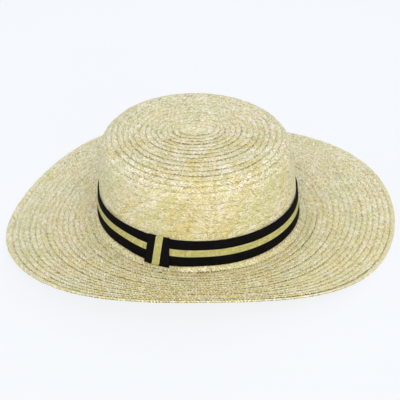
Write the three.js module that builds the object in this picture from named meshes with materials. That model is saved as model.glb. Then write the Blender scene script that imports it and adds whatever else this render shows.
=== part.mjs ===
// A wide-brimmed straw hat: one continuous spiral of straw braid sewn into a low crown and a soft brim,
// a striped grosgrain ribbon round the foot of the crown, and a short keeper of the same ribbon that is
// wrapped over the ribbon's join. Millimetres, +Z up. The hat lies on the low points of its brim, with the
// middle of its footprint at the origin.
import * as THREE from "three";

const DEG = Math.PI / 180;
const SMALL = 1e-9;

// ---- driving dimensions ----------------------------------------------------------------------------------

// The straw from the tip of the crown down to the foot of its wall. Each stretch turns evenly from the slope
// before it to its own, so it is a circular arc, or straight where the slope stays. Lengths run along the
// straw, and a slope is in degrees below level.
const CROWN = [
  { stretch: "tip disc", length: 12, slope: 0, steps: 1 },
  { stretch: "dome", length: 47, slope: 5.5, steps: 3 },
  { stretch: "upper shoulder", length: 11, slope: 8, steps: 1 },
  { stretch: "shoulder", length: 24, slope: 84, steps: 6 },
  { stretch: "wall", length: 67, slope: 84, steps: 3 },
];
const WALL = CROWN.length - 1;

// The tight curve between the crown's wall and the brim.
const BREAK_LENGTH = 6;
const BREAK_STEPS = 3;

// The brim at even stations round the hat. station is in degrees from +X towards +Y, rise is the brim's slope
// in degrees above level where it leaves the crown, and curl what it gains over BRIM_BEND of its width. From
// there it runs straight to its edge.
const BRIM = [
  { station: 0, rise: 4, curl: -3.5, width: 88 },
  { station: 30, rise: 0, curl: -2, width: 89.5 },
  { station: 60, rise: -7.5, curl: -0.5, width: 90 },
  { station: 90, rise: -8, curl: 0, width: 88.5 },
  { station: 120, rise: -8, curl: 2, width: 86 },
  { station: 150, rise: -12, curl: 0.5, width: 85 },
  { station: 180, rise: -10, curl: 2.5, width: 86.5 },
  { station: 210, rise: -1.5, curl: 7, width: 86 },
  { station: 240, rise: 7, curl: 12.5, width: 86 },
  { station: 270, rise: 9, curl: 16.5, width: 83.5 },
  { station: 300, rise: 5, curl: 9, width: 84 },
  { station: 330, rise: 5, curl: -4.5, width: 86.5 },
];
const BRIM_BEND = 0.55;
const BRIM_BEND_STEPS = 4;
const BRIM_FLAT_STEPS = 2;

const OVAL = 3; // the crown's rings are wider along X than along Y by this much on each side
const TILT_X = -0.0396; // the lying hat rises by this much per millimetre along +X
const TILT_Y = 0.0496; // and by this much per millimetre along +Y
const STRAW_THICKNESS = 2; // two layers of overlapping braid
const ROUND_STEPS = 72; // points in a ring round the hat

const GAP = 0.3; // free space between two pieces that touch
const RIBBON_WIDTH = 25.4;
const RIBBON_THICKNESS = 0.8;
const RIBBON_FOOT = 1.3; // the ribbon's lower edge above the foot of the crown's wall
const RIBBON_JOIN = 1; // free space between the ribbon's two ends, under the keeper

const KEEPER_WIDTH = 23;
const KEEPER_ANGLE = 243; // degrees from +X towards +Y, at half the ribbon's height
const KEEPER_LEAN = 3.7; // its top lies this much further round than its foot, in millimetres
const KEEPER_STEPS = 5;

const STRAW_COLOUR = 0xd9cfa0;
const RIBBON_COLOUR = 0x17171c;

// ---- the straw's surface ---------------------------------------------------------------------------------

// Value at an angle of a quantity known at even stations round the hat: the smoothest periodic curve
// through the stations.
function aroundHat(values, angle) {
  const count = values.length;
  let sum = 0;
  for (let i = 0; i < count; i += 1) {
    const half = (angle - (i * 2 * Math.PI) / count) / 2;
    const sine = Math.sin(half);
    const weight = Math.abs(sine) < SMALL ? 1 : (Math.sin(count * half) * Math.cos(half)) / (count * sine);
    sum += values[i] * weight;
  }
  return sum;
}

// The stretches that a meridian passes at an angle, from the tip to the edge of the brim, in radians.
function stretchesAt(angle) {
  const brimValue = (key) => aroundHat(BRIM.map((station) => station[key]), angle);
  const rise = brimValue("rise");
  const curl = brimValue("curl");
  const width = brimValue("width");
  const crown = CROWN.map(({ length, slope }) => ({ length, slope: slope * DEG }));
  return [
    ...crown,
    { length: BREAK_LENGTH, slope: -rise * DEG },
    { length: width * BRIM_BEND, slope: -(rise + curl) * DEG },
    { length: width * (1 - BRIM_BEND), slope: -(rise + curl) * DEG },
  ];
}

// Radius and height gained along part of one stretch, from its start to a fraction of its length.
function alongArc(length, startSlope, endSlope, fraction) {
  const turn = endSlope - startSlope;
  const passed = length * fraction;
  if (Math.abs(turn) < SMALL) {
    return { radius: passed * Math.cos(startSlope), height: -passed * Math.sin(startSlope) };
  }
  const slope = startSlope + turn * fraction;
  const bend = length / turn;
  return {
    radius: bend * (Math.sin(slope) - Math.sin(startSlope)),
    height: bend * (Math.cos(slope) - Math.cos(startSlope)),
  };
}

// Radius, height and slope on the outer face of the straw, at a fraction of one stretch. The height is
// counted from the foot of the crown's wall.
function meridianPoint(stretchIndex, fraction, angle) {
  const stretches = stretchesAt(angle);
  const point = { radius: 0, height: 0, slope: 0 };
  let footHeight = 0;
  let slope = 0;
  let radius = 0;
  let height = 0;
  stretches.forEach((stretch, index) => {
    if (index === stretchIndex) {
      const part = alongArc(stretch.length, slope, stretch.slope, fraction);
      point.radius = radius + part.radius;
      point.height = height + part.height;
      point.slope = slope + (stretch.slope - slope) * fraction;
    }
    const whole = alongArc(stretch.length, slope, stretch.slope, 1);
    radius += whole.radius;
    height += whole.height;
    slope = stretch.slope;
    if (index === WALL) {
      footHeight = height;
    }
  });
  point.height -= footHeight;
  return point;
}

// A point lifted off the outer face of the straw, or sunk into it where lift is negative.
function strawPoint(stretchIndex, fraction, angle, lift) {
  const { radius, height, slope } = meridianPoint(stretchIndex, fraction, angle);
  const reach = radius + lift * Math.sin(slope);
  const x = (reach + OVAL) * Math.cos(angle);
  const y = reach * Math.sin(angle);
  const z = height + lift * Math.cos(slope) + TILT_X * x + TILT_Y * y;
  return new THREE.Vector3(x, y, z);
}

// ---- solids ----------------------------------------------------------------------------------------------

// A closed body through rings of equally many points, which run anticlockwise as seen from outside the first
// ring. Its two ends are closed by capFaces, which are triangles between the points of one ring.
function loft(rings, capFaces) {
  const count = rings[0].length;
  const positions = rings.flat().flatMap((point) => [point.x, point.y, point.z]);
  const index = [];
  for (let ring = 0; ring < rings.length - 1; ring += 1) {
    for (let i = 0; i < count; i += 1) {
      const here = ring * count + i;
      const beside = ring * count + ((i + 1) % count);
      index.push(here, here + count, beside + count, here, beside + count, beside);
    }
  }
  const lastRing = (rings.length - 1) * count;
  for (const [a, b, c] of capFaces) {
    index.push(a, b, c, lastRing + a, lastRing + c, lastRing + b);
  }
  const geometry = new THREE.BufferGeometry();
  geometry.setAttribute("position", new THREE.Float32BufferAttribute(positions, 3));
  geometry.setIndex(index);
  return geometry;
}

// Triangles over a flat ring: one large triangle over its middle, and a fan over each of the rest.
function ringCap(count) {
  const third = count / 3;
  const faces = [[0, third, 2 * third]];
  for (let corner = 0; corner < count; corner += third) {
    for (let i = 1; i < third; i += 1) {
      faces.push([corner, corner + i, (corner + i + 1) % count]);
    }
  }
  return faces;
}

function strawBody() {
  const steps = [...CROWN.map((stretch) => stretch.steps), BREAK_STEPS, BRIM_BEND_STEPS, BRIM_FLAT_STEPS];
  const places = [];
  steps.forEach((count, stretchIndex) => {
    for (let step = 1; step <= count; step += 1) {
      places.push({ stretchIndex, fraction: step / count });
    }
  });
  const ringAt = ({ stretchIndex, fraction }, lift) =>
    Array.from({ length: ROUND_STEPS }, (_, i) =>
      strawPoint(stretchIndex, fraction, (i * 2 * Math.PI) / ROUND_STEPS, lift),
    );
  const outer = places.map((place) => ringAt(place, 0));
  const inner = places.map((place) => ringAt(place, -STRAW_THICKNESS)).reverse();
  return loft([...outer, ...inner], ringCap(ROUND_STEPS));
}

// A strip round the crown whose section is a flat outline. Each corner of the outline has a height above
// the foot of the wall and a lift off the straw, and shift gives the extra angle at a corner's height.
function wallStrip(corners, angles, shift = () => 0) {
  const wallLength = CROWN[WALL].length;
  const rings = angles.map((angle) =>
    corners.map(({ height, lift }) =>
      strawPoint(WALL, 1 - height / wallLength, angle + shift(height), lift),
    ),
  );
  const outline = corners.map(({ height, lift }) => new THREE.Vector2(lift, height));
  return loft(rings, THREE.ShapeUtils.triangulateShape(outline, []));
}

// The crown's outer radius at half the ribbon's height, which turns lengths along the ribbon into angles.
function ribbonRadius() {
  const middle = RIBBON_FOOT + RIBBON_WIDTH / 2;
  return meridianPoint(WALL, 1 - middle / CROWN[WALL].length, 0).radius + OVAL / 2;
}

function ribbonBand() {
  const low = RIBBON_FOOT;
  const high = RIBBON_FOOT + RIBBON_WIDTH;
  const corners = [
    { height: low, lift: GAP },
    { height: low, lift: GAP + RIBBON_THICKNESS },
    { height: high, lift: GAP + RIBBON_THICKNESS },
    { height: high, lift: GAP },
  ];
  const join = KEEPER_ANGLE * DEG;
  const halfJoin = RIBBON_JOIN / 2 / ribbonRadius();
  const start = join + halfJoin;
  const end = join + 2 * Math.PI - halfJoin;
  const step = (2 * Math.PI) / ROUND_STEPS;
  const angles = [start];
  for (let i = Math.floor(start / step) + 1; i * step < end; i += 1) {
    angles.push(i * step);
  }
  angles.push(end);
  return wallStrip(corners, angles);
}

// The keeper's section is a C that holds the ribbon: its back is open towards the straw.
function ribbonKeeper() {
  const low = RIBBON_FOOT - GAP;
  const high = RIBBON_FOOT + RIBBON_WIDTH + GAP;
  const inside = GAP + RIBBON_THICKNESS + GAP;
  const outside = inside + RIBBON_THICKNESS;
  const corners = [
    { height: low - RIBBON_THICKNESS, lift: GAP },
    { height: low - RIBBON_THICKNESS, lift: outside },
    { height: high + RIBBON_THICKNESS, lift: outside },
    { height: high + RIBBON_THICKNESS, lift: GAP },
    { height: high, lift: GAP },
    { height: high, lift: inside },
    { height: low, lift: inside },
    { height: low, lift: GAP },
  ];
  const radius = ribbonRadius();
  const middle = RIBBON_FOOT + RIBBON_WIDTH / 2;
  const lean = (height) => ((KEEPER_LEAN / radius) * (height - middle)) / RIBBON_WIDTH;
  const angles = Array.from({ length: KEEPER_STEPS + 1 }, (_, i) => {
    const along = (i / KEEPER_STEPS - 0.5) * KEEPER_WIDTH;
    return KEEPER_ANGLE * DEG + along / radius;
  });
  return wallStrip(corners, angles, lean);
}

// ---- assembly --------------------------------------------------------------------------------------------

function addPiece(group, name, geometry, color, roughness) {
  geometry.computeVertexNormals();
  const piece = new THREE.Mesh(geometry, new THREE.MeshStandardMaterial({ color, roughness, metalness: 0 }));
  piece.name = name;
  group.add(piece);
}

const hat = new THREE.Group();
addPiece(hat, "straw_body", strawBody(), STRAW_COLOUR, 0.75);
addPiece(hat, "ribbon_band", ribbonBand(), RIBBON_COLOUR, 0.85);
addPiece(hat, "ribbon_keeper", ribbonKeeper(), RIBBON_COLOUR, 0.85);

const footprint = new THREE.Box3().setFromObject(hat, true);
const middle = footprint.getCenter(new THREE.Vector3());
hat.position.set(-middle.x, -middle.y, -footprint.min.z);

export default hat;
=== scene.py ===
"""Looks of a wide-brimmed straw hat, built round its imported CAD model.

The hat is one continuous strip of plaited straw, sewn in a spiral from the tip of the crown to the edge of
the brim, with each turn's outer edge lying on the turn that follows. A striped grosgrain ribbon lies round
the foot of the crown, and a keeper of the same ribbon is wrapped over its join.

Lengths are in millimetres and slopes in degrees until points() turns a grid into metres in the CAD's frame.
"""

import math

import bpy
import numpy as np
from mathutils import Matrix, Vector


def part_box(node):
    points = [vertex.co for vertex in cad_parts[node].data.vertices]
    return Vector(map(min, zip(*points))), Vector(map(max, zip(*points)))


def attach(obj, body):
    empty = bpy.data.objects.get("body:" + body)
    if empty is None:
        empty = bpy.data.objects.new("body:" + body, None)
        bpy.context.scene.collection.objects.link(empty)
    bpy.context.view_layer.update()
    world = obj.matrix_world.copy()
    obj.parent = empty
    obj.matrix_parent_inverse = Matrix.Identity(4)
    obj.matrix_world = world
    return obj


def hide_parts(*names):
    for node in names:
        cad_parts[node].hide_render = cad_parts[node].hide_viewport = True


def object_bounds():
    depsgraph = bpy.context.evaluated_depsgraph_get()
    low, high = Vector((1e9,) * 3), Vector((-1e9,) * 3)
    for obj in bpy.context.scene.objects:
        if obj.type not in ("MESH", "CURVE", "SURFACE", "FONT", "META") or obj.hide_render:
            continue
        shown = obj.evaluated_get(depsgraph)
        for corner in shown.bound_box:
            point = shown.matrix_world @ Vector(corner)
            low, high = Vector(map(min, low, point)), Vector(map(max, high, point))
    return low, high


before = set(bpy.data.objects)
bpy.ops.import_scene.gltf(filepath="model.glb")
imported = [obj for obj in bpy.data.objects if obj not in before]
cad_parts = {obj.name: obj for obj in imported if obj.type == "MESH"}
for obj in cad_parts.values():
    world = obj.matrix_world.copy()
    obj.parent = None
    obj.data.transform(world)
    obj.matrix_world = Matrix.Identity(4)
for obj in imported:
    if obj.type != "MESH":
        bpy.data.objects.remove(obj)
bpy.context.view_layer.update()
MM = 0.001
TURN = 2 * math.pi
NIL = 1e-9  # a difference or an angle that counts as none


def smooth(share):
    """A share from 0 to 1 that sets out and arrives softly."""
    return share * share * (3 - 2 * share)


# ---- camera ----------------------------------------------------------------------------------------------

CAMERA_AZIMUTH = 3.529  # how far it looks past the hat's +Y, towards +X
CAMERA_ELEVATION = 32.403
CAMERA_ROLL = -2.558
CAMERA_DISTANCE = 1336.6
CAMERA_AIM = (0.7, 0.0, 20.1)
CAMERA_LENS = 125.31


def add_camera():
    """A camera in front of the hat and above it, turned a little about its own axis."""
    azimuth, elevation, roll = np.radians([CAMERA_AZIMUTH, CAMERA_ELEVATION, CAMERA_ROLL])
    ahead = Vector((
        math.sin(azimuth) * math.cos(elevation),
        math.cos(azimuth) * math.cos(elevation),
        -math.sin(elevation),
    ))
    level = Vector((math.cos(azimuth), -math.sin(azimuth), 0))
    upright = level.cross(ahead)
    right = math.cos(roll) * level + math.sin(roll) * upright
    up = math.cos(roll) * upright - math.sin(roll) * level
    data = bpy.data.cameras.new("camera")
    data.lens = CAMERA_LENS
    camera = bpy.data.objects.new("camera", data)
    place = (Vector(CAMERA_AIM) - CAMERA_DISTANCE * ahead) * MM
    turned = Matrix((right, up, -ahead)).transposed().to_4x4()
    camera.matrix_world = Matrix.Translation(place) @ turned
    bpy.context.scene.collection.objects.link(camera)
    bpy.context.scene.camera = camera


add_camera()

# ---- the hat's surface, as in the CAD --------------------------------------------------------------------

# From the tip of the crown down to the foot of its wall. Each stretch turns evenly from the slope before it
# to its own, in degrees below level.
CROWN = [
    {"stretch": "tip disc", "length": 12, "slope": 0},
    {"stretch": "dome", "length": 47, "slope": 5.5},
    {"stretch": "upper shoulder", "length": 11, "slope": 8},
    {"stretch": "shoulder", "length": 24, "slope": 84},
    {"stretch": "wall", "length": 67, "slope": 84},
]
CROWN_LENGTH = sum(stretch["length"] for stretch in CROWN)
BREAK_LENGTH = 6  # the tight curve between the wall and the brim

# The brim at twelve even stations, in degrees from +X towards +Y: its slope above level at the crown, what
# that gains over BRIM_BEND of its width, its width, and how much of its last row of braid shows.
BRIM = [
    {"station": 0, "rise": 4, "curl": -3.5, "width": 88, "last_row": 4.3},
    {"station": 30, "rise": 0, "curl": -2, "width": 89.5, "last_row": 4.1},
    {"station": 60, "rise": -7.5, "curl": -0.5, "width": 90, "last_row": 4.4},
    {"station": 90, "rise": -8, "curl": 0, "width": 88.5, "last_row": 4.7},
    {"station": 120, "rise": -8, "curl": 2, "width": 86, "last_row": 5.4},
    {"station": 150, "rise": -12, "curl": 0.5, "width": 85, "last_row": 6.5},
    {"station": 180, "rise": -10, "curl": 2.5, "width": 86.5, "last_row": 6.9},
    {"station": 210, "rise": -1.5, "curl": 7, "width": 86, "last_row": 5.2},
    {"station": 240, "rise": 7, "curl": 12.5, "width": 86, "last_row": 5.4},
    {"station": 270, "rise": 9, "curl": 16.5, "width": 83.5, "last_row": 4.2},
    {"station": 300, "rise": 5, "curl": 9, "width": 84, "last_row": 3.8},
    {"station": 330, "rise": 5, "curl": -4.5, "width": 86.5, "last_row": 4.2},
]
BRIM_BEND = 0.55
BRIM_WIDTH = 86  # the distance that stands for the whole width, wherever it is a little more or less
BRIM_FOOT = CROWN_LENGTH + BREAK_LENGTH
EDGE = BRIM_FOOT + BRIM_WIDTH
EDGE_REACH = 1.1  # of the last stretch, up to which the surface goes on for straw past the edge

OVAL = 3  # how much further out the hat reaches along X than along Y, on each side
TILT_X = -0.0396  # how much higher the hat lies for each millimetre of x
TILT_Y = 0.0496  # and of y
STRAW_THICKNESS = 2
CAD_ROUND_STEPS = 72  # points round the CAD's straw


def around_hat(key, angle):
    """The smoothest periodic curve through a column of BRIM."""
    count = len(BRIM)
    total = np.zeros_like(angle)
    for i, station in enumerate(BRIM):
        half = (angle - i * TURN / count) / 2
        sine = np.sin(half)
        near = np.abs(sine) < NIL
        weight = np.sin(count * half) * np.cos(half) / (count * np.where(near, 1, sine))
        total += station[key] * np.where(near, 1, weight)
    return total


def meridian(distance, angle):
    """Radius, height above the tip, and slope below level in radians on the outer face, at a distance along
    the straw from the tip."""
    rise = np.radians(around_hat("rise", angle))
    curl = np.radians(around_hat("curl", angle))
    width = around_hat("width", angle)
    stretches = [(s["length"], s["length"], math.radians(s["slope"])) for s in CROWN]
    stretches += [(BREAK_LENGTH, BREAK_LENGTH, -rise)]
    stretches += [(BRIM_WIDTH * part, width * part, -rise - curl) for part in (BRIM_BEND, 1 - BRIM_BEND)]
    radius = np.zeros_like(angle)
    height = np.zeros_like(angle)
    slope = np.zeros_like(angle)
    start, before = 0, np.zeros_like(angle)
    for i, (nominal, length, after) in enumerate(stretches):
        reach = 1 if i < len(stretches) - 1 else EDGE_REACH
        fraction = np.clip((distance - start) / nominal, 0, reach)
        walked = length * fraction
        turn = after - before
        straight = np.abs(turn) < NIL
        bend = length / np.where(straight, 1, turn)
        now = before + turn * fraction
        radius += np.where(straight, walked * np.cos(before), bend * (np.sin(now) - np.sin(before)))
        height -= np.where(straight, walked * np.sin(before), bend * (np.cos(before) - np.cos(now)))
        slope += turn * fraction
        start += nominal
        before = after
    return radius, height, slope


FOOT_HEIGHT = float(meridian(np.array([CROWN_LENGTH]), np.array([0.0]))[1][0])


def on_hat(distance, angle, lift):
    """Points lifted off the outer face, in the hat's own axes: the crown's axis at x = y = 0 and the foot
    of its wall at z = 0."""
    distance, angle, lift = np.broadcast_arrays(*(np.asarray(v, float) for v in (distance, angle, lift)))
    radius, height, slope = meridian(distance, angle)
    reach = radius + lift * np.sin(slope)
    x = (reach + OVAL) * np.cos(angle)
    y = reach * np.sin(angle)
    z = height - FOOT_HEIGHT + lift * np.cos(slope) + TILT_X * x + TILT_Y * y
    return np.stack([x, y, z], -1)


def hat_place():
    """Where the hat's own axes lie in the frame, from the box of the CAD's straw."""
    angle = np.arange(CAD_ROUND_STEPS) * TURN / CAD_ROUND_STEPS
    rim = np.concatenate([on_hat(EDGE, angle, 0), on_hat(EDGE, angle, -STRAW_THICKNESS)])
    low, high = (np.array(corner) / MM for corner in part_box("straw_body"))
    across = (low + high) / 2 - (rim.min(0) + rim.max(0)) / 2
    return np.array([across[0], across[1], low[2] - rim[:, 2].min()])


HAT_PLACE = hat_place()


def points(distance, angle, lift):
    """Points off the outer face, in metres in the CAD's frame."""
    return (on_hat(distance, angle, lift) + HAT_PLACE) * MM


# ---- meshes from grids -----------------------------------------------------------------------------------

UV_NAME = "OFBake"


def closed_tube(name, grid, uv, materials, face_material=None):
    """A closed mesh through sections of points, grid[step, side], with its two ends filled and a bake map.
    uv[step, side] has one more side than the grid, for the seam."""
    steps, around = grid.shape[:2]
    step, side = np.meshgrid(np.arange(steps - 1), np.arange(around), indexing="ij")
    corners = [(step, side), (step + 1, side), (step + 1, side + 1), (step, side + 1)]
    quads = np.stack([a * around + b % around for a, b in corners], -1).reshape(-1)
    count = len(quads) // 4
    ends = np.concatenate([np.arange(around)[::-1], (steps - 1) * around + np.arange(around)])
    mesh = bpy.data.meshes.new(name)
    mesh.vertices.add(steps * around)
    mesh.vertices.foreach_set("co", grid.reshape(-1).astype(np.float32))
    mesh.loops.add(count * 4 + 2 * around)
    mesh.loops.foreach_set("vertex_index", np.concatenate([quads, ends]).astype(np.int32))
    mesh.polygons.add(count + 2)
    starts = np.concatenate([np.arange(count) * 4, [count * 4, count * 4 + around]])
    mesh.polygons.foreach_set("loop_start", starts.astype(np.int32))
    mapped = np.stack([uv[a, b] for a, b in corners], 2).reshape(-1, 2)
    caps = np.concatenate([uv[0, :around][::-1], uv[-1, :around]])
    layer = mesh.uv_layers.new(name=UV_NAME, do_init=False)
    layer.uv.foreach_set("vector", np.concatenate([mapped, caps]).astype(np.float32).ravel())
    for material in materials:
        mesh.materials.append(material)
    if face_material is not None:
        index = np.concatenate([face_material.reshape(-1), [0, 0]]).astype(np.int32)
        mesh.polygons.foreach_set("material_index", index)
    mesh.polygons.foreach_set("use_smooth", np.ones(count + 2, bool))
    mesh.update(calc_edges=True)
    mesh.validate()
    piece = bpy.data.objects.new(name, mesh)
    bpy.context.scene.collection.objects.link(piece)
    return piece


def add_vectors(piece, name, domain, values):
    """Stores a vector for each point or face. Faces past the given ones, which are the two ends, get 0."""
    attribute = piece.data.attributes.new(name, "FLOAT_VECTOR", domain)
    full = np.zeros((len(attribute.data), 3), np.float32)
    full[: len(values)] = values
    attribute.data.foreach_set("vector", full.ravel())


# ---- materials -------------------------------------------------------------------------------------------

ROW_PITCH = 5.6  # what shows of a row of braid on the wall
STRAW_PITCH = 3.9  # along the braid, from one straw to the next
SEAM_DOTS = 2.6  # along a seam, from one dark dot to the next
LEAN_UP = 7.6  # radians for each metre up the wall, by which its patches of colour lean round the hat

# The straw's colour from its darkest to its palest tone, and the colours of its patches.
TONES = (
    (0.0, (0.72, 0.63, 0.335)),
    (0.35, (0.79, 0.71, 0.43)),
    (0.65, (0.835, 0.76, 0.51)),
    (1.0, (0.88, 0.81, 0.61)),
)
RIPE = (0.735, 0.625, 0.265)
GREEN = (0.71, 0.71, 0.42)
BLEACHED = (0.87, 0.81, 0.68)
# What is left of the colour in a crease, in a fleck and in the painted shade of a seam or a notch.
CREASE = (0.42, 0.35, 0.19)
FLECK = (0.28, 0.22, 0.10)
PAINTED_SHADE_COLOUR = (0.20, 0.15, 0.03)
# Strengths at heights in metres: of ripe and bleached patches, of patches that keep to their row, of
# bleached straw on the brim, the wall and the dome, and of the light that the wall gets.
PATCHY = ((0.015, 0.6), (0.035, 1.0))
ALONG_ROWS = ((0.02, 1.0), (0.035, 0.3), (0.085, 0.3), (0.093, 1.0))
BLEACHING = ((0.035, 1.0), (0.045, 0.7), (0.08, 0.7), (0.09, 1.0), (0.095, 1.0), (0.1, 0.5))
WALL_LIGHT = ((0.02, 1.0), (0.05, 0.95))
# Riper straw in a ring round the ribbon, at distances in metres from the hat's middle.
RIPE_RING = ((0.098, 0.0), (0.104, 1.0), (0.114, 1.0), (0.126, 0.0))


class Nodes:
    """A short way to write a material's node tree."""

    def __init__(self, name):
        self.material = bpy.data.materials.new(name)
        self.material.use_nodes = True
        self.tree = self.material.node_tree
        self.shader = self.tree.nodes["Principled BSDF"]

    def add(self, kind, sockets=None, **settings):
        node = self.tree.nodes.new(kind)
        for key, value in settings.items():
            setattr(node, key, value)
        for key, value in (sockets or {}).items():
            self.put(node.inputs[key], value)
        return node

    def put(self, socket, value):
        if isinstance(value, bpy.types.NodeSocket):
            self.tree.links.new(value, socket)
        elif hasattr(value, "__len__") and len(value) == 3 and socket.type == "RGBA":
            socket.default_value = (*value, 1)
        else:
            socket.default_value = value

    def maths(self, operation, a, b=0.0, clamp=False):
        return self.add("ShaderNodeMath", {0: a, 1: b}, operation=operation, use_clamp=clamp).outputs[0]

    def times(self, a, b):
        return self.maths("MULTIPLY", a, b)

    def minus(self, a, b, clamp=False):
        return self.maths("SUBTRACT", a, b, clamp)

    def total(self, first, *others):
        for other in others:
            first = self.maths("ADD", first, other)
        return first

    def wave(self, value, length):
        return self.maths("SINE", self.times(value, TURN / length))

    def vector_maths(self, operation, a, b):
        return self.add("ShaderNodeVectorMath", {0: a, 1: b}, operation=operation).outputs[0]

    def attribute(self, name):
        """The three numbers of a vector attribute."""
        node = self.add("ShaderNodeAttribute", attribute_name=name)
        return self.add("ShaderNodeSeparateXYZ", {0: node.outputs["Vector"]}).outputs

    def combine(self, x, y, z):
        return self.add("ShaderNodeCombineXYZ", {0: x, 1: y, 2: z}).outputs[0]

    def noise(self, vector, scale, detail=2.0, roughness=0.5):
        sockets = {"Vector": vector, "Scale": scale, "Detail": detail, "Roughness": roughness}
        return self.add("ShaderNodeTexNoise", sockets).outputs["Fac"]

    def ramp(self, value, *stops):
        """A colour or grey at each (position, colour)."""
        node = self.add("ShaderNodeValToRGB", {"Fac": value})
        elements = node.color_ramp.elements
        while len(elements) < len(stops):
            elements.new(0.5)
        for element, (position, colour) in zip(elements, stops):
            element.position = position
            element.color = (*colour, 1) if hasattr(colour, "__len__") else (colour, colour, colour, 1)
        return node.outputs["Color"]

    def mix(self, blend, factor, a, b):
        node = self.add("ShaderNodeMix", data_type="RGBA", blend_type=blend)
        for socket, value in zip((node.inputs[0], node.inputs[6], node.inputs[7]), (factor, a, b)):
            self.put(socket, value)
        return node.outputs[2]

    def darken(self, colour, shade):
        return self.mix("MULTIPLY", 1.0, colour, shade)

    def bump(self, height, strength, distance):
        sockets = {"Height": height, "Strength": strength, "Distance": distance}
        return self.add("ShaderNodeBump", sockets).outputs[0]

    def finish(self, **sockets):
        for key, value in sockets.items():
            self.put(self.shader.inputs[key.replace("_", " ")], value)
        return self.material


class StrawNodes(Nodes):
    """Wheat straw. The braid's points hold the distances along and across the strip in millimetres and how
    much light its grooves get, and its faces each straw's tone, hue and lean."""

    def __init__(self):
        super().__init__("straw")
        self.along, self.across, self.light = self.attribute("braid")
        self.tone, self.hue, self.lean = self.attribute("straw")
        self.place = self.add("ShaderNodeTexCoord").outputs["Object"]
        self.backwards, self.height = self.add("ShaderNodeSeparateXYZ", {0: self.place}).outputs[1:]
        self.row = self.combine(self.along, self.times(self.across, 0.6), 0.0)
        turn = {"Vector": self.place, "Angle": self.times(self.height, -LEAN_UP)}
        turned = self.add("ShaderNodeVectorRotate", turn, rotation_type="Z_AXIS").outputs[0]
        self.leaning = self.vector_maths("MULTIPLY", turned, (1.0, 1.0, 0.4))
        self.elsewhere = self.vector_maths("ADD", self.leaning, (0.31, 0.17, 0.05))

    def ripeness(self):
        """How ripe each place is: more so in front, low down, on darker straws and round the ribbon."""
        level = self.vector_maths("MULTIPLY", self.place, (1.0, 1.0, 0.0))
        outwards = self.add("ShaderNodeVectorMath", {0: level}, operation="LENGTH").outputs["Value"]
        ripe = self.total(
            self.noise(self.leaning, 45),
            self.times(self.noise(self.row, 0.13), 0.7),
            self.times(self.minus(0.5, self.tone), 0.2),
            self.times(self.backwards, -1.1),
            self.minus(0.085, self.height),
            self.times(self.ramp(outwards, *RIPE_RING), 0.16),
        )
        return self.ramp(ripe, (0.86, 0.0), (1.0, 0.8))

    def greenness(self):
        green = self.total(self.noise(self.elsewhere, 32), self.times(self.hue, 0.14))
        return self.ramp(green, (0.52, 0.0), (0.70, 0.50))

    def paleness(self):
        """How bleached each place is."""
        bleached = self.total(
            self.times(self.minus(self.noise(self.row, 0.09), 0.5), self.ramp(self.height, *ALONG_ROWS)),
            self.times(self.noise(self.elsewhere, 75), 0.85),
            self.times(self.minus(self.hue, 0.5), 0.14),
        )
        return self.ramp(bleached, (0.45, 0.0), (0.58, 0.72))

    def patched(self, colour):
        """Riper, greener and bleached straw, in patches of several straws, painted shade on the wall, and
        colour that is a little lighter towards the front than elsewhere.
        """
        patchy = self.ramp(self.height, *PATCHY)
        colour = self.mix("MIX", self.times(self.ripeness(), patchy), colour, RIPE)
        colour = self.mix("MIX", self.greenness(), colour, GREEN)
        # painted shade: the wall is painted a little darker than the brim
        colour = self.darken(colour, self.ramp(self.height, *WALL_LIGHT))
        # a little darker everywhere, and lighter again towards the front
        forwards = self.minus(-0.06, self.backwards, clamp=True)
        front_lighter = self.total(self.times(forwards, 0.7), 0.96)
        colour = self.darken(colour, self.combine(front_lighter, front_lighter, front_lighter))
        bleached = self.times(self.times(self.paleness(), patchy), self.ramp(self.height, *BLEACHING))
        return self.mix("MIX", bleached, colour, BLEACHED)

    def fibres(self):
        """Fibres and creases along each straw."""
        sideways = self.minus(self.along, self.times(self.across, self.lean))
        each = self.times(self.total(self.tone, self.hue), 40.0)
        return self.noise(self.combine(sideways, self.times(self.across, 0.3), each), 1.2, 2, 0.6)

    def painted_shade(self):
        """Painted shade in the seams between rows and in the notches between straws, broken into dots."""
        dot_noise = self.noise(self.combine(self.along, self.across, 9.0), 0.5, 1)
        dots = self.total(self.times(self.wave(self.along, SEAM_DOTS), 0.25), dot_noise)
        dots = self.times(self.ramp(dots, (0.42, 0.0), (0.60, 1.0)), 1.4)
        return self.times(self.minus(1.0, self.light), dots)


def straw_material():
    n = StrawNodes()
    fibres = n.fibres()
    flecks = n.noise(n.combine(n.along, n.across, 4.0), 1.7, 1)
    colour = n.patched(n.ramp(n.tone, *TONES))
    colour = n.darken(colour, n.ramp(fibres, (0.33, CREASE), (0.48, 1.0)))
    colour = n.darken(colour, n.ramp(flecks, (0.34, FLECK), (0.475, 1.0)))
    # painted shade in the seams between rows and in the notches between straws
    colour = n.darken(colour, n.ramp(n.painted_shade(), (0.0, 1.0), (0.68, PAINTED_SHADE_COLOUR)))
    shine = n.total(n.times(fibres, 0.6), n.times(n.tone, 0.3))
    roughness = n.ramp(shine, (0.2, 0.60), (0.8, 0.42))
    bump = n.bump(fibres, 0.5, 0.00015)
    return n.finish(Base_Color=colour, Roughness=roughness, Normal=bump, Specular_IOR_Level=0.4)


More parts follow.
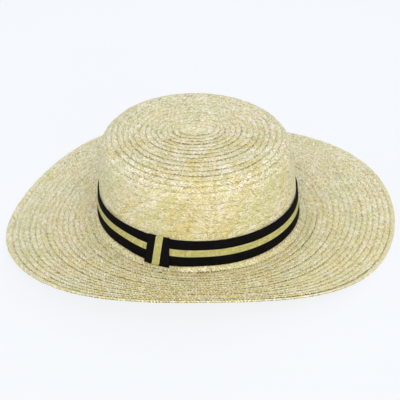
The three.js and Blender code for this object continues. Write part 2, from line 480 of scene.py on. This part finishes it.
def ribbon_black():
    """Black grosgrain: fine threads between its ribs, painted shade in the grooves between them, and a
    little lint.
    """
    n = Nodes("ribbon_black")
    along, across, height = n.attribute("weave")
    threads = n.noise(n.combine(along, n.times(across, 4.0), 0.0), 2.2)
    lint = n.noise(n.combine(along, across, 0.0), 0.16, 3)
    colour = n.ramp(threads, (0.3, (0.003, 0.003, 0.003)), (0.75, (0.008, 0.007, 0.007)))
    # painted shade: the black is darker in the grooves between the ribs and round the keeper's folds
    colour = n.darken(colour, n.ramp(height, (0.0, 0.45), (1.0, 1.0)))
    colour = n.mix("MIX", n.ramp(lint, (0.45, 0.0), (0.8, 0.25)), colour, (0.015, 0.012, 0.013))
    roughness = n.ramp(threads, (0.3, 0.85), (0.8, 0.6))
    bump = n.bump(threads, 0.4, 0.00006)
    return n.finish(Base_Color=colour, Roughness=roughness, Normal=bump, Specular_IOR_Level=0.04)


def ribbon_stripe():
    """The middle stripe: straw-coloured yarns in a tight twill with paler yarns along its two edges."""
    n = Nodes("ribbon_stripe")
    along, across, height = n.attribute("weave")
    diagonal = n.total(along, n.times(across, 0.8))
    speckle = n.noise(n.combine(diagonal, n.times(across, 0.5), 0.0), 0.9, 3, 0.7)
    yarns = n.total(n.times(n.wave(diagonal, 2.1), 0.13), n.times(speckle, 1.5))
    colour = n.ramp(
        yarns,
        (0.48, (0.10, 0.085, 0.02)),
        (0.66, (0.34, 0.295, 0.08)),
        (0.82, (0.52, 0.475, 0.155)),
        (1.00, (0.68, 0.645, 0.31)),
    )
    colour = n.mix("MIX", n.ramp(height, (0.8, 0.0), (1.0, 0.55)), colour, (0.66, 0.62, 0.34))
    roughness = n.ramp(speckle, (0.3, 0.65), (0.7, 0.45))
    bump = n.bump(yarns, 0.5, 0.0001)
    return n.finish(Base_Color=colour, Roughness=roughness, Normal=bump, Specular_IOR_Level=0.4)


STRAW = straw_material()
BLACK = ribbon_black()
STRIPE = ribbon_stripe()

# ---- the straw braid -------------------------------------------------------------------------------------

BRIM_PITCH = 5.336  # what shows of a row on the brim
# Row counts from the tip, which grow by one each turn, and their distances.
CROWN_ROWS = [
    {"row": 0, "distance": 0},
    {"row": 1.5, "distance": 9},
    {"row": 2.5, "distance": 14.6},
    {"row": 6.5, "distance": 34.4},
    {"row": 8.5, "distance": 45.5},
    {"row": 12.5, "distance": 71.2},
    {"row": 15.5, "distance": 88},
    {"row": 23.5, "distance": 133},
]
WALL_ROW = CROWN_ROWS[-1]["row"]  # under the ribbon, from where the rows run evenly to the brim's own
LAST_ROW = 44
START_ROW = -0.8  # where the braid starts, folded in under the tip
FOLDED_ROW = 0.2  # up to which that fold reaches
TURN_SAMPLES = 720  # for the length of the spiral
JOIN_ANGLE = math.radians(98)  # at the back, where the braid starts and ends
TAPER = math.radians(60)  # round the brim, over which its end is tucked away
OVERHANG = 0.3  # of the straw past the CAD's edge
OVERHANG_MORE = 0.85  # what is added to it at OVERHANG_ANGLE
OVERHANG_ANGLE = math.radians(270)
OVERHANG_ROWS = 4  # over which it is spread
STRAW_COUNT = 9000  # more than there are in any column
STRAW_SAMPLES = 4
STRAW_SLANT = 0.9  # how far a straw goes along the strip for each millimetre across it
TIGHTEST = 9  # the smallest radius at which the straws have their full slant
TIP_STRETCH = 4.6  # the folded start of the braid makes the first rows longer along X on each side
TIP_REACH = (44, 72)  # distances from the tip between which that fades
WALL_FLATNESS = 0.92  # share of the profile that pressing on the block took off the crown's wall
WALL_ZONE = (84, 96, 148, 160)  # distances from the tip where that starts, is full, fades and ends
TIP_FLATNESS = 0.9  # the same at the tip
TIP_FLATNESS_LOSS = 0.6  # what that loses with each row
PRESSED_RELIEF = 0.6  # share of the grooves' depth that goes where it is pressed quite flat
PRESSED_SCALLOP = 0.8  # and of the scallops
FULLNESS = ((62, 95, 120, 150), (0, 1, 1, 0))  # distances from the tip, and its share there
FULLNESS_RIGHT = 1.7
FULLNESS_LEFT = 1.3
SCALLOP = 0.13  # of a row, by which its edge falls back between two straws
RELIEF = 0.26  # depth of the grooves between straws
SHOULDER = 0.10  # of a pitch, by which the points beside a groove lie closer to it
DRIFT = 0.08  # of a row, by which its course wanders
BULGE = 0.10  # by which its face wanders up and down
WANDER_RATES = (1.37, 2.71, 4.19, 7.43, 12.9)  # waves in a turn, none of them whole, so that rows differ
LIFT_SPREAD = 0.05  # from straw to straw
EDGE_SPREAD = 0.022  # of a row, from straw to straw of its edge
TONE_SPREAD = 0.16
FOLD_LIFT = -0.2  # of the folded start
LIP = 0.3  # how much the face of the last row falls from its edge inwards
LIFT_LIMITS = (-1.98, 0.24)
MAP_START = 1.5  # how many turns out from the middle of the bake map the strip starts
# Painted shade in the seams: its spread from straw to straw, its most, and its amounts on the crown and the
# brim and at the hat's own edge. The last seam gets more of it, up to LAST_SEAM_MORE at LAST_SEAM_ANGLE.
SEAM_SHADE_SPREAD = 0.5
SEAM_SHADE_MOST = 2.2
CROWN_SEAM_SHADE = 0.45
BRIM_SEAM_SHADE = 0.65
EDGE_SEAM_SHADE = 0.3
LAST_SEAM_MORE = 1.2
LAST_SEAM_ANGLE = math.radians(295)

# The strip's closed section. across is 0 at the outer edge of the row above and 1 at the row's own. Each
# column of straws has its grooves at another sample, and centre is the line that its straws lean towards.
# flat is the lift where the outside is pressed quite flat. light is 0 where painted shade gathers and 1 on
# the open face, and notch what of it the grooves lose to painted shade. doubled is how much lower the place
# lies on the last row, whose edge is folded under.
SECTION = [
    {"place": "hidden inner edge", "across": -0.30, "lift": -1.10, "flat": -0.3, "column": "upper",
     "centre": 0.5, "relief": 0.3, "light": 0.2, "notch": 0.2},
    {"place": "under the row above", "across": 0.02, "lift": -0.68, "flat": -0.1, "column": "upper",
     "centre": 0.5, "relief": 0.7, "light": 0.75, "notch": 0.4},
    {"place": "upper straws", "across": 0.24, "lift": -0.42, "flat": -0.1, "column": "upper",
     "centre": 0.5, "relief": 1.0, "light": 1, "notch": 0.4},
    {"place": "middle line", "across": 0.50, "lift": -0.22, "flat": -0.1, "column": "both",
     "centre": 0.5, "relief": 0.5, "light": 1, "notch": 0.3},
    {"place": "lower straws", "across": 0.74, "lift": -0.10, "flat": -0.1, "column": "lower",
     "centre": 0.5, "relief": 1.0, "light": 1, "notch": 0.4},
    {"place": "outer shoulder", "across": 0.92, "lift": -0.04, "flat": -0.1, "column": "lower",
     "centre": 0.5, "relief": 1.2, "light": 1, "notch": 0.6},
    {"place": "outer edge", "across": 1.02, "lift": -0.30, "flat": -0.1, "column": "lower",
     "centre": 0.5, "relief": 1.3, "light": 0.62, "notch": 0.65, "doubled": 0.5},
    {"place": "under the edge", "across": 0.95, "lift": -1.00, "column": "lower",
     "centre": 0.5, "relief": 0.5, "light": 0.45, "notch": 0.5, "doubled": 0.75},
    {"place": "inside, upper straws", "across": 0.66, "lift": -1.22, "column": "lower",
     "centre": 0.2, "relief": -0.6, "light": 0.9, "notch": 0.4, "doubled": 0.5},
    {"place": "inside, middle line", "across": 0.20, "lift": -1.42, "column": "both",
     "centre": 0.2, "relief": -0.5, "light": 1, "notch": 0.3},
    {"place": "inside, lower straws", "across": -0.26, "lift": -1.86, "column": "upper",
     "centre": 0.2, "relief": -0.8, "light": 1, "notch": 0.4},
    {"place": "inner edge", "across": -0.35, "lift": -1.60, "column": "upper",
     "centre": 0.2, "relief": -1.0, "light": 0.3, "notch": 0.6},
]
COVERED_PLACES = ("hidden inner edge", "under the row above")
FACE_PLACES = ("under the row above", "upper straws", "middle line", "lower straws")
EDGE_PLACES = ("outer shoulder", "outer edge", "under the edge")
INNER_REACH = SECTION[-1]["across"]
# How far each sample along a straw stands up, from 0 in a groove to 1 on its back.
STANDING = {
    "upper": [0.0, 0.85, 1.0, 0.85],
    "lower": [1.0, 0.85, 0.0, 0.85],
    "both": [0.6, 1.0, 0.6, 1.0],
}
# How far each sample moves along the strip, in pitches, to make its column's grooves narrow.
SQUEEZE = {
    "upper": [0, -SHOULDER, 0, SHOULDER],
    "lower": [0, SHOULDER, 0, -SHOULDER],
    "both": [0, 0, 0, 0],
}
random = np.random.default_rng(11)


def edge_row(angle):
    """The row count at the brim's edge, which grows by one round the hat and falls back at the join."""
    passed = np.mod(angle - JOIN_ANGLE, TURN)
    grown = passed / TURN
    back = np.clip((passed - (TURN - TAPER)) / TAPER, 0, 1)
    return LAST_ROW + grown - smooth(back)


def row_distance(row, angle):
    """Distance from the tip at a row count."""
    crown = np.interp(row, [r["row"] for r in CROWN_ROWS], [r["distance"] for r in CROWN_ROWS])
    width = around_hat("width", angle)
    last = around_hat("last_row", angle)
    foot_row = edge_row(angle) - 1 - (width - last) / BRIM_PITCH
    wall = np.clip((row - WALL_ROW) / (foot_row - WALL_ROW), 0, 1)
    covered = crown + (BRIM_FOOT - CROWN_ROWS[-1]["distance"]) * wall
    inwards = np.maximum(edge_row(angle) - row, 0)
    from_edge = last * np.minimum(inwards, 1) + BRIM_PITCH * np.maximum(inwards - 1, 0)
    overhang = OVERHANG + OVERHANG_MORE * np.maximum(np.cos(angle - OVERHANG_ANGLE), 0)
    overhang = overhang * np.clip(1 - inwards / OVERHANG_ROWS, 0, 1)
    brim = EDGE - BRIM_WIDTH * np.minimum(from_edge / width, 1) + overhang
    return np.where(row < foot_row, covered, brim)


def row_place(row, angle):
    """Distance from the tip and angle at a row count, with the first rows stretched along X."""
    distance = row_distance(row, angle)
    near, far = TIP_REACH
    fade = np.clip((far - distance) / (far - near), 0, 1)
    x = (distance + TIP_STRETCH * smooth(fade)) * np.cos(angle)
    y = distance * np.sin(angle)
    stretched = distance < far
    return np.where(stretched, np.hypot(x, y), distance), np.where(stretched, np.arctan2(y, x), angle)


def fullness(distance, angle):
    """How far the crown's two sides stand out past the CAD's."""
    side = np.cos(angle)
    most = np.where(side > 0, FULLNESS_RIGHT, FULLNESS_LEFT)
    return np.interp(distance, *FULLNESS) * side * side * most


def spiral():
    """Turns passed, distance along the strip and radius, at even distances along the whole braid. It starts
    under the tip, where its row count is below 0, and ends where its end is tucked away."""
    turns = np.arange(START_ROW, LAST_ROW, 1 / TURN_SAMPLES)
    angle = turns * TURN + JOIN_ANGLE
    middle = np.maximum(turns + 0.5, FOLDED_ROW)
    radius = meridian(row_distance(middle, angle), angle)[0] + OVAL / 2
    length = np.concatenate([[0], np.cumsum((radius[1:] + radius[:-1]) / 2 * np.diff(turns) * TURN)])
    along = np.arange(0, length[-1], STRAW_PITCH / STRAW_SAMPLES)
    return np.interp(along, length, turns), along, np.interp(along, length, radius)


def wander(turns, size, seed):
    """A slow drift along the braid that differs from row to row."""
    drift = np.random.default_rng(seed)
    total = np.zeros_like(turns)
    for rate in WANDER_RATES:
        total += np.sin(turns * TURN * rate + drift.uniform(0, TURN)) / math.sqrt(rate)
    return total * size / 2


def straw_number(samples, column):
    """Which straw of a column each sample along the strip lies on. A straw runs from groove to groove."""
    groove = np.argmin(STANDING[column])
    return (samples + groove) // STRAW_SAMPLES


def per_straw(count, column, spread):
    """A random number for each straw of a column, at each sample."""
    straw = straw_number(np.arange(count), column)
    return random.normal(0, spread, straw[-1] + 1)[straw]


def straw_tones():
    """Tone and hue of every straw, for each column outside and inside."""
    tones = {}
    for column in ("upper", "lower"):
        for inside in (False, True):
            tone = np.clip(random.normal(0.5, TONE_SPREAD, STRAW_COUNT), 0, 1)
            tones[column, inside] = np.stack([tone, random.uniform(0, 1, STRAW_COUNT)], -1)
    return tones


STRAW_TONES = straw_tones()


class Braid:
    """The points and straws of the whole strip, at [sample along it, place in its section]."""

    def __init__(self):
        self.turns, self.along, self.radius = spiral()
        self.course = self.turns * TURN + JOIN_ANGLE
        count = len(self.turns)
        self.sample = np.arange(count) % STRAW_SAMPLES
        self.middle = row_distance(self.turns + 0.5, self.course)
        left = edge_row(self.course) - self.turns
        self.room = np.clip(left, 0, 1)
        self.outermost = np.clip(2 - left, 0, 1)
        self.drift = wander(self.turns, DRIFT, 3) * np.clip(self.turns / 3, 0, 1)
        self.drift *= np.clip((LAST_ROW - 1 - self.turns) / 2, 0, 1)
        self.bulge = wander(self.turns, BULGE, 5)
        tip = np.clip(TIP_FLATNESS - TIP_FLATNESS_LOSS * self.turns, 0, TIP_FLATNESS)
        self.pressed = np.maximum(WALL_FLATNESS * np.interp(self.middle, WALL_ZONE, (0, 1, 1, 0)), tip)
        self.lip = np.where(self.turns > LAST_ROW - 1, LIP, 0.0)
        self.stands = {column: per_straw(count, column, LIFT_SPREAD) for column in STANDING}
        self.sticks = per_straw(count, "lower", EDGE_SPREAD)
        self.seams = self.seam_shade_strength()
        made = [self.place(part) for part in SECTION]
        self.row, self.angle, self.lift, self.light = (np.stack(values, 1) for values in zip(*made))

    def seam_shade_strength(self):
        """How strong the painted shade of the seam is at each straw of the row's edge."""
        painted_shade = np.clip(1 + per_straw(len(self.turns), "lower", SEAM_SHADE_SPREAD), 0, SEAM_SHADE_MOST)
        painted_shade = painted_shade * np.where(self.middle < BRIM_FOOT, CROWN_SEAM_SHADE, BRIM_SEAM_SHADE)
        last_seam = (self.turns > LAST_ROW - 2) & (self.turns < LAST_ROW - 1)
        facing = np.clip(np.cos(self.course - LAST_SEAM_ANGLE), 0, 1)
        painted_shade = painted_shade * np.where(last_seam, 1 + LAST_SEAM_MORE * facing, 1.0)
        return painted_shade * np.where(self.turns > LAST_ROW - 1, EDGE_SEAM_SHADE, 1.0)

    def place(self, part):
        """Row count, angle, lift and light at one place of the section, all along the strip."""
        standing = np.array(STANDING[part["column"]])[self.sample]
        row = self.row_at(part, standing)
        lift = self.lift_at(part, standing)
        light = self.light_at(part, standing)
        return row, self.angle_at(part), lift, light

    def row_at(self, part, standing):
        """The edge is scalloped, and the strip narrows towards its start and its end."""
        reach = np.full(len(self.turns), part["across"])
        if part["place"] in EDGE_PLACES:
            scallop = SCALLOP * (1 - standing) * (1 - PRESSED_SCALLOP * self.pressed)
            reach = reach - scallop + self.sticks
        reach = np.where(reach > 0, reach * self.room, reach)
        inner = np.maximum(self.turns + INNER_REACH, 0)
        outer = self.turns + 1
        return inner + (reach - INNER_REACH) / (1 - INNER_REACH) * (outer - inner) + self.drift

    def angle_at(self, part):
        slant = STRAW_SLANT * ROW_PITCH * abs(part["across"] - part["centre"])
        shift = slant + np.array(SQUEEZE[part["column"]])[self.sample] * STRAW_PITCH
        return self.course + shift / np.maximum(self.radius, TIGHTEST)

    def lift_at(self, part, standing):
        lift = part["lift"]
        if part["place"] in COVERED_PLACES:
            lift = np.where(self.turns < FOLDED_ROW, FOLD_LIFT, lift)
        if part["place"] in FACE_PLACES:
            lift = lift - self.lip * (1 - part["across"])
        if "flat" in part:
            lift = lift + self.pressed * (part["flat"] - lift)
        lift = lift - part.get("doubled", 0) * self.outermost
        relief = RELIEF * part["relief"] * (1 - PRESSED_RELIEF * self.pressed)
        lift = lift - relief * (1 - standing) + self.bulge + self.stands[part["column"]] * np.sign(relief)
        return np.clip(lift, *LIFT_LIMITS)

    def light_at(self, part, standing):
        # painted shade in the notches between straws and, at the row's edge, in the seam
        light = part["light"] * (1 - part["notch"] * (1 - standing))
        if "flat" not in part:
            return light
        painted_shade = self.seams if part["place"] in EDGE_PLACES else 1
        return np.clip(1 - (1 - light) * (1 - self.pressed) * painted_shade, 0, 1)

    def piece(self, name, from_row, to_row):
        """Builds the stretch of the strip between two row counts, as a closed mesh."""
        first, last = np.searchsorted(self.turns, [from_row, to_row])
        last = min(last + 1, len(self.turns))
        part = slice(first, last)
        row, angle, lift = self.row[part], self.angle[part], self.lift[part]
        distance, angle = row_place(np.maximum(row, 0), angle)
        grid = points(distance, angle, lift + fullness(distance, angle))
        piece = closed_tube(name, grid, self.bake_map(part), [STRAW])
        across = np.array([place["across"] * ROW_PITCH for place in SECTION])
        braid = np.stack(np.broadcast_arrays(self.along[part, None], across, self.light[part]), -1)
        add_vectors(piece, "braid", "POINT", braid.reshape(-1, 3))
        add_vectors(piece, "straw", "FACE", self.straws(first, last - 1).reshape(-1, 3))
        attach(piece, "root")
        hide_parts("straw_body")

    def bake_map(self, part):
        """A flat spiral in which the strip's section is unrolled."""
        places = len(SECTION)
        unrolled = np.arange(places + 1) / places
        turns = self.turns[part, None] - self.turns[part.start]
        reach = MAP_START + turns + unrolled
        angle = self.turns[part, None] * TURN
        flat = np.stack([np.cos(angle) * reach, np.sin(angle) * reach], -1)
        return 0.5 + 0.499 * flat / reach.max()

    def straws(self, first, last):
        """Tone, hue and lean of the straw that each face belongs to."""
        made = np.zeros((last - first, len(SECTION), 3))
        for j, part in enumerate(SECTION):
            column = part["column"]
            if column == "both":
                column = SECTION[(j + 1) % len(SECTION)]["column"]
            inside = part["centre"] < 0.5
            made[:, j, :2] = STRAW_TONES[column, inside][straw_number(np.arange(first, last), column)]
            made[:, j, 2] = -STRAW_SLANT if column == "upper" else STRAW_SLANT
        return made


BRAID = Braid()
BRAID.piece("braid_crown_top", START_ROW, 17.5)
BRAID.piece("braid_crown_wall", 17.5, 28.5)
BRAID.piece("braid_brim_inner", 28.5, 36.8)
BRAID.piece("braid_brim_outer", 36.8, LAST_ROW)

# ---- the ribbon and its keeper ---------------------------------------------------------------------------

GAP = 0.3  # between the straw and the band, and between the band and the keeper
RIBBON_WIDTH = 25.4
RIBBON_THICKNESS = 0.8
RIBBON_FOOT = 1.3  # how far its lower edge lies up the wall
RIBBON_JOIN = 1  # between the band's two ends
RIB_PITCH = 0.9  # from one rib to the next
RIB_DEPTH = 0.10
STRIPE_PLACE = (9.6, 16.2)  # above the ribbon's lower edge
BESIDE_STRIPE = 0.2  # how far out from the stripe's edge the black ribbon is at its own height
EDGE_YARN = 0.5  # how far in from the stripe's edge its raised yarn lies
YARN_FOOT = 0.9  # and how far in that yarn ends
YARN_LIFT = 0.05
SELVEDGE = 0.35  # over which the ribbon's thickness rounds off at its two edges
# the black ribbon is painted darker as this falls, for shade in its grooves
RIB_RAISED = 0.75  # what the material gets on a rib, where an edge yarn has 1 and a groove 0
RIBBON_OUT = GAP + RIBBON_THICKNESS
RIBBON_MIDDLE = RIBBON_FOOT + RIBBON_WIDTH / 2
RIBBON_TOP = RIBBON_FOOT + RIBBON_WIDTH
# Waves of the band's face up and down the wall: their size, their length over 2 pi and their start.
BAND_WAVES = ((0.05, 41, 0), (0.035, 17.3, 1))

KEEPER_WIDTH = 21.6
KEEPER_DROP = 3.4  # of its lower fold below the band's edge
KEEPER_ANGLE = math.radians(243)  # where its middle lies round the hat
KEEPER_LEAN = 3.7  # of its upper end along the band
KEEPER_RIGHT_LEAN = 0.1  # share of the lean at its right edge, which hangs nearly straight
KEEPER_SWELL = 0.12  # of its face between its two folds
# Distances from its middle: within its edge yarn, at that yarn, at the edge of its stripe, just beside it,
# and where its face starts to fall off towards its sides.
KEEPER_STEPS = (2.5, 2.9, 3.3, 3.6, 7.2)
KEEPER_SIDE = 0.3  # over which each side is rounded
KEEPER_FALL = (0, 0.05, 0.3)  # of its face: where that starts, and at both ends of the rounded side

# How far the band stands off the straw at the two sides, and the share of it at its foot.
SLACK_RIGHT = 1.5
SLACK_LEFT = 0.9
SLACK_FOOT = 0.35
# Where it rides up to the left of the keeper: the whole band, and more of it in its middle.
HUMP = {"up": 0.8, "place": -30, "reach": 25}
HUMP_MIDDLE = {"up": 1.15, "place": -50, "reach": 40}
# How far its foot hangs down and out under the keeper, and the distances between which that fades.
SAG_DOWN = 1.4
SAG_OUT = 0.9
SAG_REACH = (8, 45)


def ribbon_radius():
    """The mean radius of the wall in the middle of the ribbon."""
    radius = meridian(np.array([CROWN_LENGTH - RIBBON_MIDDLE]), np.array([0.0]))[0][0]
    return radius + OVAL / 2


RIBBON_RADIUS = ribbon_radius()


def hump(beyond, up, place, reach):
    """A soft rise round a place, at distances beyond the keeper's middle."""
    return up * np.exp(-(((beyond - place) / reach) ** 2))


def slack(angle, height):
    """How far the ribbon strays from its even course: up the wall, and off the straw. It stands off at the
    sides, most where the wall narrows, rides up a little left of the keeper, and sags under it."""
    part = np.clip((height - RIBBON_FOOT) / RIBBON_WIDTH, 0, 1)
    side = np.cos(angle)
    off = np.where(side > 0, SLACK_RIGHT * side, -SLACK_LEFT * side)
    off = off * (SLACK_FOOT + (1 - SLACK_FOOT) * part)
    beyond = (np.mod(angle - KEEPER_ANGLE + math.pi, TURN) - math.pi) * RIBBON_RADIUS
    up = hump(beyond, **HUMP) + hump(beyond, **HUMP_MIDDLE) * np.sin(part * math.pi)
    near, far = SAG_REACH
    sag = smooth(np.clip((far - np.abs(beyond)) / (far - near), 0, 1)) * (1 - part)
    return up - SAG_DOWN * sag, off + SAG_OUT * sag


def band_section(start, end):
    """The band's closed section, up its face and back down its back: heights on the wall, lifts, and a side
    that is 1 on the face, -1 on the back and 0 at the edges. Its stripe runs from start to end."""
    low, high = RIBBON_FOOT, RIBBON_TOP
    between = (GAP + RIBBON_OUT) / 2
    face = [low + SELVEDGE, (low + start) / 2, start - BESIDE_STRIPE, start]
    face += [start + EDGE_YARN, start + YARN_FOOT, (start + end) / 2, end - YARN_FOOT, end - EDGE_YARN]
    face += [end, end + BESIDE_STRIPE, (high + end) / 2, high - SELVEDGE]
    rows = [(low, GAP + 0.1, 0), (low - 0.05, between, 0)]
    rows += [(height, RIBBON_OUT, 1) for height in face]
    rows += [(high + 0.05, between, 0), (high, GAP + 0.1, 0)]
    rows += [(height, GAP, -1) for height in (high - SELVEDGE, (low + high) / 2, low + SELVEDGE)]
    return np.array(rows).T


def ribbon_band():
    """A C-shaped strip of ribbon round the wall, with its join under the keeper, and its length."""
    start, end = (RIBBON_FOOT + place for place in STRIPE_PLACE)
    height, lift, side = band_section(start, end)
    length = TURN * RIBBON_RADIUS - RIBBON_JOIN
    count = int(round(length / RIB_PITCH)) * 2 + 1
    along = np.linspace(RIBBON_JOIN / 2, RIBBON_JOIN / 2 + length, count)
    rib = np.where(np.arange(count) % 2, 0.0, 1.0)[:, None]
    yarn = np.isclose(height, start + EDGE_YARN) | np.isclose(height, end - EDGE_YARN)
    lifts = lift - RIB_DEPTH * (1 - rib) * (side > 0) + YARN_LIFT * yarn
    wave = sum(size * np.sin(along / reach + phase) for size, reach, phase in BAND_WAVES)
    heights = height + wave[:, None] * (side >= 0)
    angle = KEEPER_ANGLE + along[:, None] / RIBBON_RADIUS
    up, off = slack(angle, heights)
    grid = points(CROWN_LENGTH - heights - up, angle, lifts + off)
    on_face = (side > 0) & (np.roll(side, -1) > 0)
    striped = on_face & (height >= start) & (np.roll(height, -1) <= end)
    materials = np.broadcast_to(striped, (count - 1, len(height)))
    uv = ribbon_map(along, len(height))
    piece = closed_tube("ribbon_band_woven", grid, uv, [BLACK, STRIPE], materials)
    raised = np.where(yarn, 1.0, rib * RIB_RAISED)
    weave = np.stack(np.broadcast_arrays(along[:, None], height, raised), -1)
    add_vectors(piece, "weave", "POINT", weave.reshape(-1, 3))
    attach(piece, "root")
    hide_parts("ribbon_band")
    return piece, length


def ribbon_map(along, places):
    """A bake map that lays the ribbon's length round a flat ring."""
    unrolled = np.arange(places + 1) / places
    angle = (along - along[0])[:, None] / (along[-1] - along[0]) * TURN * 0.98
    reach = 0.5 + 0.5 * unrolled
    flat = np.stack([np.cos(angle) * reach, np.sin(angle) * reach], -1)
    return 0.5 + 0.49 * flat


def keeper_section(low, high):
    """The keeper's closed section, as heights on the wall and lifts: round its lower fold, up its face,
    round its upper fold and back down behind."""
    near = RIBBON_OUT + GAP
    far = near + RIBBON_THICKNESS
    fold = [(0.1, GAP + 0.05), (0.75, GAP + 0.25), (0.8, near - 0.2), (0.45, far - 0.2)]
    heights = np.linspace(low + 0.6, high - 0.6, int((high - low) / (RIB_PITCH / 2)))
    swell = KEEPER_SWELL * np.sin((heights - low) / (high - low) * math.pi)
    lifts = far - RIB_DEPTH * (np.arange(len(heights)) % 2) + swell
    section = [(low - below, lift) for below, lift in fold]
    section += list(zip(heights, lifts))
    section += [(high + above, lift) for above, lift in reversed(fold)]
    section += [(high, near - 0.3), (high - 0.5, near), (low + 0.5, near), (low, near - 0.3)]
    return np.array(section).T


def ribbon_keeper():
    """A short ribbon wrapped over the band, with its own width along the band's length, and how long one
    layer of it is."""
    low, high = RIBBON_FOOT - KEEPER_DROP, RIBBON_TOP + GAP
    height, lift = keeper_section(low, high)
    half = KEEPER_WIDTH / 2
    yarn, stripe, beside, shoulder = KEEPER_STEPS[1:]
    right = np.array([*KEEPER_STEPS, half - KEEPER_SIDE, half])
    across = np.concatenate([-right[::-1], [0], right])[:, None]
    drop = np.interp(np.abs(across), (shoulder, half - KEEPER_SIDE, half), KEEPER_FALL)
    lean = KEEPER_LEAN / RIBBON_RADIUS * (height - RIBBON_MIDDLE) / RIBBON_WIDTH
    lean = lean * np.interp(across, (beside, half), (1, KEEPER_RIGHT_LEAN))
    angle = KEEPER_ANGLE + across / RIBBON_RADIUS + lean
    lifts = lift - drop * (lift > RIBBON_OUT + GAP + 0.1)
    up, off = slack(angle, np.broadcast_to(height, angle.shape))
    grid = points(CROWN_LENGTH - height - up, angle, lifts + off)
    striped = np.abs(across[1:] + across[:-1]) / 2 < stripe
    materials = np.broadcast_to(striped, (len(across) - 1, len(height)))
    steps = np.hypot(np.diff(height, append=height[0]), np.diff(lift, append=lift[0]))
    walked = np.concatenate([[0], np.cumsum(steps)])
    uv = np.stack(np.broadcast_arrays(walked / walked[-1], (across - across[0]) / KEEPER_WIDTH), -1)
    piece = closed_tube("ribbon_keeper_woven", grid, uv, [BLACK, STRIPE], materials)
    face = (height > low + 0.5) & (height < high - 0.5)
    # off its face, round the folds, 0.5 gives the black a little painted shade
    raised = np.where(np.isclose(np.abs(across), yarn), 1.0, np.where(face, RIB_RAISED, 0.5))
    weave = np.stack(np.broadcast_arrays(walked[:-1], across, raised), -1)
    add_vectors(piece, "weave", "POINT", weave.reshape(-1, 3))
    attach(piece, "root")
    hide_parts("ribbon_keeper")
    return piece, walked[-1] / 2


BAND, BAND_LENGTH = ribbon_band()
KEEPER, KEEPER_LENGTH = ribbon_keeper()

# ---- floor and light -------------------------------------------------------------------------------------

FLOOR_SIZE = 12.0  # in metres
FLOOR_GLOW = 0.86
SKY = (0.88, 0.94, 1.04)
SKY_STRENGTH = 1.14
LIGHTS = [
    {"name": "key", "place": (0.05, -1.7, 1.4), "size": 1.4, "power": 26, "colour": (1.0, 0.95, 0.85)},
    {"name": "fill", "place": (1.3, -0.6, 1.3), "size": 1.2, "power": 2, "colour": (1, 1, 1)},
]
LIGHTS_AIM = (0, 0, 0.05)


def add_floor():
    """A pale floor under the lowest straw."""
    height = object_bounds()[0].z
    half = FLOOR_SIZE / 2
    mesh = bpy.data.meshes.new("floor")
    corners = [(-half, -half, height), (half, -half, height), (half, half, height), (-half, half, height)]
    mesh.from_pydata(corners, [], [(0, 1, 2, 3)])
    n = Nodes("floor")
    grain = n.noise(n.add("ShaderNodeTexCoord").outputs["Object"], 3, 2)
    colour = n.ramp(grain, (0.3, (0.07, 0.072, 0.074)), (0.7, (0.08, 0.081, 0.083)))
    glow = {"Emission_Color": (0.95, 0.97, 1.0), "Emission_Strength": FLOOR_GLOW}
    mesh.materials.append(n.finish(Base_Color=colour, Roughness=0.9, Specular_IOR_Level=0.1, **glow))
    floor = bpy.data.objects.new("floor", mesh)
    bpy.context.scene.collection.objects.link(floor)


def add_light(name, place, size, power, colour):
    """A square soft box that faces the hat."""
    data = bpy.data.lights.new(name, "AREA")
    data.shape = "SQUARE"
    data.size = size
    data.energy = power
    data.color = colour
    light = bpy.data.objects.new(name, data)
    light.location = place
    light.rotation_mode = "QUATERNION"
    light.rotation_quaternion = (Vector(LIGHTS_AIM) - Vector(place)).to_track_quat("-Z", "Y")
    bpy.context.scene.collection.objects.link(light)


def add_sky():
    """An even, slightly blue light from all sides."""
    world = bpy.data.worlds.new("studio")
    world.use_nodes = True
    sky = world.node_tree.nodes["Background"]
    sky.inputs["Color"].default_value = (*SKY, 1)
    sky.inputs["Strength"].default_value = SKY_STRENGTH
    bpy.context.scene.world = world


add_floor()
add_sky()
for light in LIGHTS:
    add_light(**light)
bpy.context.scene.view_settings.view_transform = "Standard"
